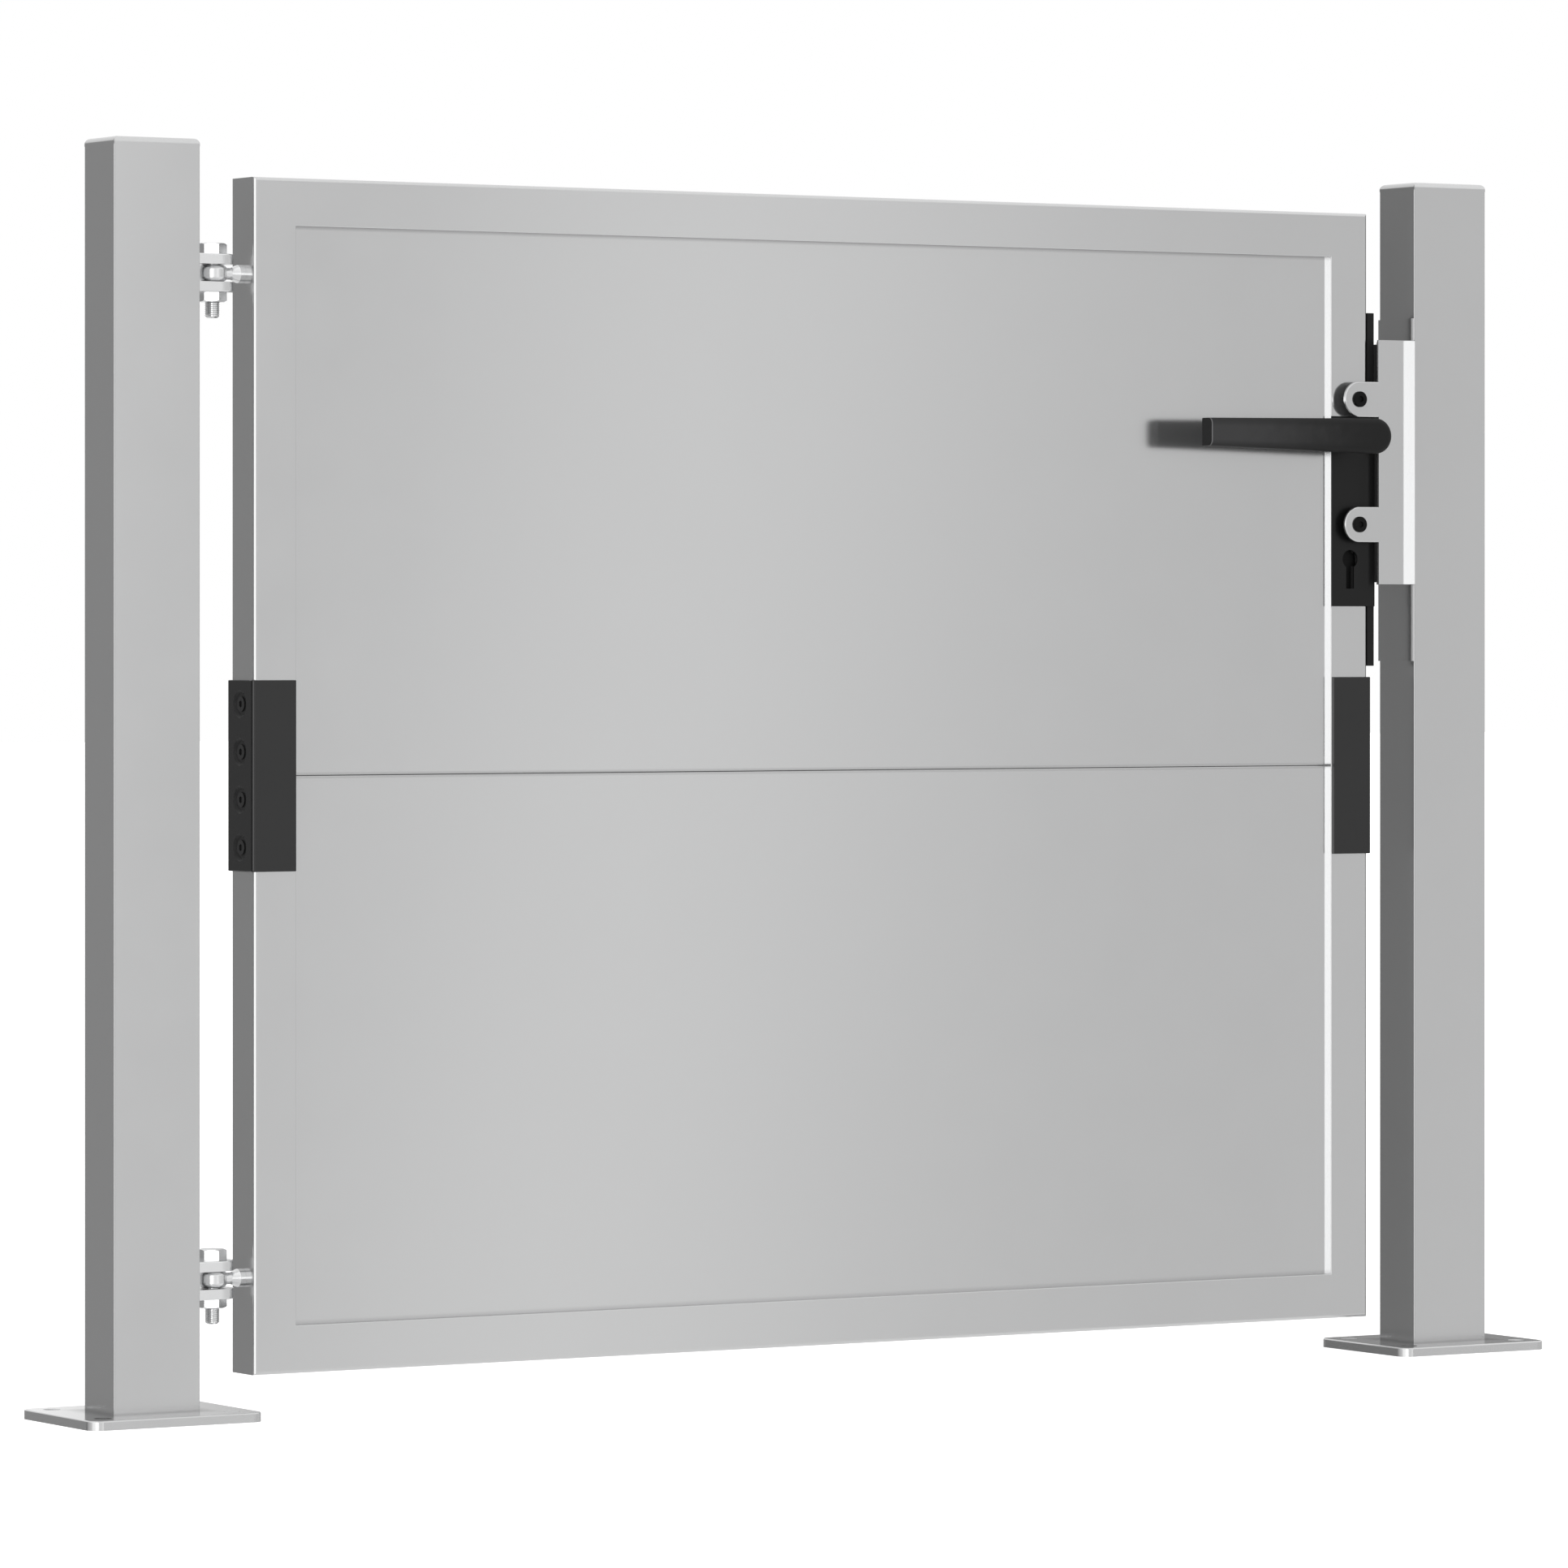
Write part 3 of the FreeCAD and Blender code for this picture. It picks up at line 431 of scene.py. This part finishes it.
class GATE_OT_plate_coat(FinishOperator, bpy.types.Operator):
    """Give the base plates the grey coat, with painted shade round the posts' feet and painted
    light in the bolt holes
    """

    bl_idname = "gate.plate_coat"
    bl_label = "Plate coat"
    nodes = ("left_base_plate", "right_base_plate")

    def surface(self, finishes):
        def painted_foot_shade_and_hole_light(wires):
            across, depth, _ = piece_place(wires)
            beside = from_post_middle(across)
            from_foot = wires.math(
                "MAXIMUM", size_of(beside) - POST_HALF_WIDTH, size_of(depth) - POST_HALF_DEPTH)
            from_hole = size_of(beside) - HOLE_X
            aside = size_of(depth) - HOLE_Y
            distance = wires.math("SQRT", from_hole * from_hole + aside * aside)
            # The front left hole of each plate stays grey
            pale_side = wires.math("GREATER_THAN", wires.math("MAXIMUM", beside, depth), 0.0)
            # Painted light: the bolt holes other than the front left one are painted lighter and
            # lose their metal, so they don't read dark
            hole = wires.math("LESS_THAN", distance, HOLE_REACH) * pale_side
            # Painted shade on the plate round the post's foot
            foot = near(from_foot, depth=0.60, reach=14 * MILLIMETRE)
            return foot * (1.0 + hole * 0.2), 1.0 - hole, 0.0

        return grey_coat("grey_powder_coat_plates", finishes, painted_foot_shade_and_hole_light)


class GATE_OT_latch_stile_coat(FinishOperator, bpy.types.Operator):
    """Give the latch stile the grey coat, with painted shade inside the tube, where it is near
    black and not metallic
    """

    bl_idname = "gate.latch_stile_coat"
    bl_label = "Latch stile coat"
    nodes = ("latch_stile",)

    def surface(self, finishes):
        low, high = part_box("latch_stile")
        middle = [(low[axis] + high[axis]) / 2 for axis in (0, 1)]
        half_tube = (high[0] - low[0]) / 2 - 0.1 * MILLIMETRE
        darker = 0.95

        def inside(wires):
            across, depth, _ = piece_place(wires)
            deep = wires.math("MAXIMUM", size_of(across - middle[0]), size_of(depth - middle[1]))
            # Painted shade: inside the tube the colour is painted near black and the metal is taken
            # away
            tube = wires.math("LESS_THAN", deep, half_tube)
            return 1.0 - tube * darker, 1.0 - tube, 0.0

        return grey_coat("grey_powder_coat_latch_stile", finishes, inside)


class GATE_OT_backing_plate_coat(FinishOperator, bpy.types.Operator):
    """Give the keeper's backing plate the grey coat, which is matt on its cut front edge"""

    bl_idname = "gate.backing_plate_coat"
    bl_label = "Backing plate coat"
    nodes = ("keeper_backing_plate",)

    def surface(self, finishes):
        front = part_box("keeper_backing_plate")[0][1]
        darker, less_metal = 0.12, 0.9

        def cut_edge(wires):
            edge = 1.0 - (piece_place(wires)[1] - front).ramp(1.6 * MILLIMETRE, 2.0 * MILLIMETRE)
            return 1.0 - edge * darker, 1.0 - edge * less_metal, 0.0

        return grey_coat("grey_powder_coat_backing", finishes, cut_edge)


class GATE_OT_black_coat(FinishOperator, bpy.types.Operator):
    """Give the stiles' covers their black powder coat, which is matt inside the screws' recesses"""

    bl_idname = "gate.black_coat"
    bl_label = "Black coat"
    nodes = ("hinge_stile_cover", "hinge_stile_cover_screws",
             "latch_stile_cover", "latch_stile_cover_screws")

    def surface(self, finishes):
        left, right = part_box("hinge_stile_cover")[0][0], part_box("latch_stile_cover")[1][0]
        low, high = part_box("hinge_stile")
        half_depth = (high[1] - low[1]) / 2 - 2 * MILLIMETRE
        rougher = 0.4

        def recesses(wires):
            across, depth, _ = piece_place(wires)
            from_side = (right - left) / 2 - size_of(across - (left + right) / 2)
            behind_side = wires.math("GREATER_THAN", from_side, 0.06 * MILLIMETRE)
            from_middle = size_of(depth - (low[1] + high[1]) / 2)
            between_edges = wires.math("LESS_THAN", from_middle, half_depth)
            return 1.0, 1.0, between_edges * behind_side * rougher

        return finish_surface(
            "black_powder_coat", finishes.black_colour, 0.0, finishes.black_roughness,
            finishes.black_shine, grain=0.7 * MILLIMETRE, relief=0.006 * MILLIMETRE,
            mottle=0.10, unevenness=0.05, painted_shade_and_finish=recesses)


class GATE_OT_lock_coat(FinishOperator, bpy.types.Operator):
    """Give the lock's covers their duller black coat"""

    bl_idname = "gate.lock_coat"
    bl_label = "Lock coat"
    nodes = ("lock_cover_front", "lock_cover_back")

    def surface(self, finishes):
        return finish_surface(
            "black_lock_coat", finishes.lock_colour, 0.0, roughness=0.34, shine=finishes.lock_shine,
            grain=0.6 * MILLIMETRE, relief=0.006 * MILLIMETRE, mottle=0.10, unevenness=0.05)


class GATE_OT_forend_coat(FinishOperator, bpy.types.Operator):
    """Give the lock's forend and the keeper's lining a matt black, painted lighter than the lock's
    black to offset the shade they stand in
    """

    bl_idname = "gate.forend_coat"
    bl_label = "Forend coat"
    nodes = ("lock_forend", "keeper_edging")

    def surface(self, finishes):
        # Painted light: a lighter copy of the lock's black, which offsets the shade of the narrow
        # gap between the lock and the keeper
        lightened_lock_black = [level * 2.6 for level in finishes.lock_colour]
        return finish_surface(
            "black_forend_coat", lightened_lock_black, 0.0, roughness=0.45, shine=finishes.lock_shine / 2,
            grain=0.6 * MILLIMETRE, relief=0.006 * MILLIMETRE, mottle=0.10, unevenness=0.05)


class GATE_OT_levers(FinishOperator, bpy.types.Operator):
    """Give the levers the lock's coat, with a painted sheen towards their ends, painted shade along
    their top and bottom edges and a painted highlight behind the end face
    """

    bl_idname = "gate.levers"
    bl_label = "Levers"
    nodes = ("front_handle", "back_handle")

    def surface(self, finishes):
        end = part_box("front_handle")[0][0]
        patchy, end_highlight, sheen_at_edges = 0.3, 3.5, 0.25
        material = bpy.data.materials.new("black_lever_coat")
        wires = empty_tree(material)
        along, _, height = piece_place(wires)
        # Painted sheen: the lever is painted lighter from its hub towards its end, in uneven
        # patches
        patches = (surface_noise(wires, 9 * MILLIMETRE) - 0.5) * patchy
        rubbed = (LEVER_HUB - along) / (LEVER_HUB - LEVER_SHEEN_FULL) + patches
        # Painted shade: only the middle band of the lever's height gets the whole sheen, so its top
        # and bottom edges stay darker
        sheen_band = 1.0 - size_of(height - LEVER_HEIGHT).ramp(4 * MILLIMETRE, 10 * MILLIMETRE)
        sheen_band = sheen_band * (1.0 - sheen_at_edges) + sheen_at_edges
        # Painted highlight: a narrow band just behind the end face is painted light
        past_end = along.math("GREATER_THAN", along, end + 0.3 * MILLIMETRE)
        before_face = along.math("LESS_THAN", along, end + 1.1 * MILLIMETRE)
        painted_end_highlight = past_end * before_face * end_highlight
        rubbed = rubbed.ramp(0.0, 1.0) * sheen_band * past_end + painted_end_highlight
        fine = surface_noise(wires, 0.6 * MILLIMETRE)
        shade = 1.0 + rubbed * (finishes.lever_sheen / finishes.lock_colour[0])
        bump = wires.add("ShaderNodeBump", None,
                         {"Strength": 1.0, "Distance": 0.006 * MILLIMETRE, "Height": fine})
        shader = wires.add("ShaderNodeBsdfPrincipled", None, {
            "Base Color": tint(wires, finishes.lock_colour, shade),
            "Roughness": 0.58 + (fine - 0.5) * 0.05,
            "Specular IOR Level": finishes.lock_shine,
            "Normal": bump,
        })
        wires.add("ShaderNodeOutputMaterial", None, {"Surface": shader})
        return material


class GATE_OT_black_plastic(FinishOperator, bpy.types.Operator):
    """Give the stop bolts and the key cylinder their dull black"""

    bl_idname = "gate.black_plastic"
    bl_label = "Black plastic"
    nodes = ("upper_stop_bolt", "lower_stop_bolt", "key_cylinder")

    def surface(self, finishes):
        return finish_surface(
            "black_plastic", finishes.plastic_colour, 0.0, roughness=0.55,
            shine=finishes.plastic_shine, grain=0.5 * MILLIMETRE, relief=0.008 * MILLIMETRE,
            mottle=0.10, unevenness=0.05)


class GATE_OT_zinc(FinishOperator, bpy.types.Operator):
    """Give the hinges, the latch bolt and the spindle their zinc plating"""

    bl_idname = "gate.zinc"
    bl_label = "Zinc plating"
    nodes = ("upper_hinge_fork", "upper_hinge_bolt", "upper_hinge_nut", "upper_eye_bolt",
             "lower_hinge_fork", "lower_hinge_bolt", "lower_hinge_nut", "lower_eye_bolt",
             "latch_bolt", "handle_spindle")

    def surface(self, finishes):
        return finish_surface(
            "zinc_plating", finishes.zinc_colour, 1.0, finishes.zinc_roughness, shine=0.5,
            grain=0.8 * MILLIMETRE, relief=0.004 * MILLIMETRE, mottle=0.08, unevenness=0.08)


class GATE_OT_threads(bpy.types.Operator):
    """Wind a screw thread round the end of each hinge bolt, below its nut"""

    bl_idname = "gate.threads"
    bl_label = "Bolt threads"
    bl_options = {"REGISTER", "UNDO"}

    def execute(self, context):
        threads = context.scene.gate_threads
        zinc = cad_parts["upper_hinge_bolt"].active_material
        for level in ("upper", "lower"):
            ridge = wind_thread(
                f"{level}_hinge_thread", f"{level}_hinge_bolt", f"{level}_hinge_nut", threads)
            ridge.data.materials.append(zinc)
            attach(ridge, "posts")
        return {"FINISHED"}


def wind_thread(name, bolt, nut, threads):
    """A ridge with a triangular section that winds up from the bolt's end into the nut."""
    low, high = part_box(bolt)
    start = ((low[0] + high[0]) / 2, (low[1] + high[1]) / 2, low[2] + threads.lead_in)
    # The ridge's section is a triangle, one and a half radii high
    section = threads.depth / 1.5
    bpy.ops.object.select_all(action="DESELECT")
    bpy.ops.mesh.primitive_circle_add(
        vertices=3, radius=section, fill_type="NOTHING", location=start,
        rotation=(math.pi / 2, math.pi / 2, 0.0))
    ridge = bpy.context.object
    ridge.name = name
    ridge.data.name = name
    bpy.ops.object.transform_apply(location=False, rotation=True, scale=True)
    bpy.ops.object.mode_set(mode="EDIT")
    bpy.ops.mesh.select_all(action="SELECT")
    bpy.ops.transform.translate(value=(threads.reach - section, 0.0, 0.0))
    bpy.ops.object.mode_set(mode="OBJECT")
    winding = ridge.modifiers.new("winding", "SCREW")
    winding.axis = "Z"
    winding.angle = math.tau
    winding.screw_offset = threads.pitch
    winding.iterations = round((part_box(nut)[0][2] - start[2]) / threads.pitch)
    winding.steps = THREAD_STEPS
    winding.render_steps = THREAD_STEPS
    bpy.ops.object.modifier_apply(modifier=winding.name)
    bpy.ops.object.mode_set(mode="EDIT")
    bpy.ops.mesh.select_all(action="SELECT")
    bpy.ops.mesh.remove_doubles(threshold=0.01 * MILLIMETRE)
    bpy.ops.mesh.fill_holes(sides=3)
    bpy.ops.mesh.select_all(action="SELECT")
    bpy.ops.mesh.normals_make_consistent(inside=False)
    bpy.ops.object.mode_set(mode="OBJECT")
    bpy.ops.object.shade_smooth_by_angle(angle=math.radians(40))
    bpy.ops.object.transform_apply(location=True, rotation=True, scale=True)
    return ridge


class GATE_OT_studio(bpy.types.Operator):
    """Set up the floor, the studio light and the camera"""

    bl_idname = "gate.studio"
    bl_label = "Studio"
    bl_options = {"REGISTER", "UNDO"}

    def execute(self, context):
        studio = context.scene.gate_studio
        context.scene.view_settings.view_transform = "Standard"
        lay_floor(studio)
        light_studio(context.scene, studio)
        place_camera(context.scene, studio)
        return {"FINISHED"}


def lay_floor(studio):
    """A plain white floor that shows the gate's shadow but isn't mirrored in its metal."""
    bpy.ops.object.select_all(action="DESELECT")
    bpy.ops.mesh.primitive_plane_add(size=studio.floor_width, location=(0.0, 0.0, 0.0))
    floor = bpy.context.object
    floor.name = "studio_floor"
    bpy.ops.object.transform_apply(location=True, rotation=True, scale=True)
    floor.visible_glossy = False
    material = bpy.data.materials.new("studio_floor")
    wires = empty_tree(material)
    paint = wires.add("ShaderNodeBsdfDiffuse", None, {"Color": FLOOR_COLOUR})
    camera_ray = wires.add("ShaderNodeLightPath", output="Is Camera Ray")
    glow = wires.add("ShaderNodeEmission", None,
                     {"Color": (1.0, 1.0, 1.0, 1.0), "Strength": camera_ray * FLOOR_GLOW})
    surface = wires.add("ShaderNodeAddShader", None, {0: paint, 1: glow})
    wires.add("ShaderNodeOutputMaterial", None, {"Surface": surface})
    floor.data.materials.append(material)


def ring_share(degrees):
    """How far round the ring a direction lies, from 0 to 1."""
    return (degrees + 180) / 360


def light_studio(scene, studio):
    """A white backdrop for the camera, and round it the light and dark walls for the metal."""
    scene.world = bpy.data.worlds.new("studio")
    wires = empty_tree(scene.world)
    across, depth, height = coordinates(wires, wires.add("ShaderNodeTexCoord", output="Generated"))
    turn = (wires.math("ARCTAN2", across, -depth) - height * BAND_LEAN) / math.tau + 0.5
    stops = [(ring_share(degrees), level / RING_PEAK) for degrees, level in STUDIO_RING]
    ring = wires.add("ShaderNodeValToRGB", {"stops": stops}, {0: turn}) * RING_PEAK
    latch_side = 1.0 + across * studio.side_lean
    light = ring.blend(latch_side * studio.overhead, height.ramp(*CEILING_RISE))
    light = light.blend(latch_side * studio.underfoot, (-height).ramp(*FLOOR_FALL))
    start, full, still_full, end = (ring_share(degrees) for degrees in LAMP_EDGES)
    lamp_width = turn.ramp(start, full) * (1.0 - turn.ramp(still_full, end))
    light = light.blend(studio.lamp, lamp_width * height.ramp(*LAMP_RISE))
    camera_ray = wires.add("ShaderNodeLightPath", output="Is Camera Ray")
    seen = light.blend(1.0, camera_ray)
    sky = wires.add("ShaderNodeBackground", None, {"Color": (1.0, 1.0, 1.0, 1.0), "Strength": seen})
    wires.add("ShaderNodeOutputWorld", None, {"Surface": sky})


def place_camera(scene, studio):
    """A level camera at the front, on the hinge side."""
    lens = bpy.data.cameras.new("camera")
    lens.sensor_width = 36.0
    lens.lens = studio.camera_lens
    lens.shift_y = -studio.camera_drop
    lens.clip_end = 100.0
    camera = bpy.data.objects.new("camera", lens)
    camera.location = studio.camera_place
    camera.rotation_euler = (math.pi / 2, 0.0, -studio.camera_turn)
    scene.collection.objects.link(camera)
    scene.camera = camera


class GATE_PT_sidebar(bpy.types.Panel):
    """The gate's settings and steps in the sidebar"""

    bl_idname = "GATE_PT_sidebar"
    bl_label = "Garden gate"
    bl_space_type = "VIEW_3D"
    bl_region_type = "UI"
    bl_category = "Gate"

    def draw(self, context):
        scene = context.scene
        for group in (scene.gate_finishes, scene.gate_threads, scene.gate_studio):
            for name in group.__annotations__:
                self.layout.prop(group, name)
        for operator in STEPS:
            self.layout.operator(operator.bl_idname)


GROUPS = (GateFinishes, GateThreads, GateStudio)
STEPS = (
    GATE_OT_grey_coat, GATE_OT_panel_coat, GATE_OT_post_coat, GATE_OT_plate_coat,
    GATE_OT_latch_stile_coat, GATE_OT_backing_plate_coat, GATE_OT_black_coat, GATE_OT_lock_coat,
    GATE_OT_forend_coat, GATE_OT_levers, GATE_OT_black_plastic, GATE_OT_zinc, GATE_OT_threads,
    GATE_OT_studio,
)


def register():
    for cls in (*GROUPS, *STEPS, GATE_PT_sidebar):
        bpy.utils.register_class(cls)
    bpy.types.Scene.gate_finishes = bpy.props.PointerProperty(type=GateFinishes)
    bpy.types.Scene.gate_threads = bpy.props.PointerProperty(type=GateThreads)
    bpy.types.Scene.gate_studio = bpy.props.PointerProperty(type=GateStudio)


def unregister():
    del bpy.types.Scene.gate_studio
    del bpy.types.Scene.gate_threads
    del bpy.types.Scene.gate_finishes
    for cls in reversed((*GROUPS, *STEPS, GATE_PT_sidebar)):
        bpy.utils.unregister_class(cls)


def main():
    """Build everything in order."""
    register()
    bpy.ops.gate.grey_coat()
    bpy.ops.gate.panel_coat()
    bpy.ops.gate.post_coat()
    bpy.ops.gate.plate_coat()
    bpy.ops.gate.latch_stile_coat()
    bpy.ops.gate.backing_plate_coat()
    bpy.ops.gate.black_coat()
    bpy.ops.gate.lock_coat()
    bpy.ops.gate.forend_coat()
    bpy.ops.gate.levers()
    bpy.ops.gate.black_plastic()
    bpy.ops.gate.zinc()
    bpy.ops.gate.threads()
    bpy.ops.gate.studio()


if __name__ == "__main__":
    main()
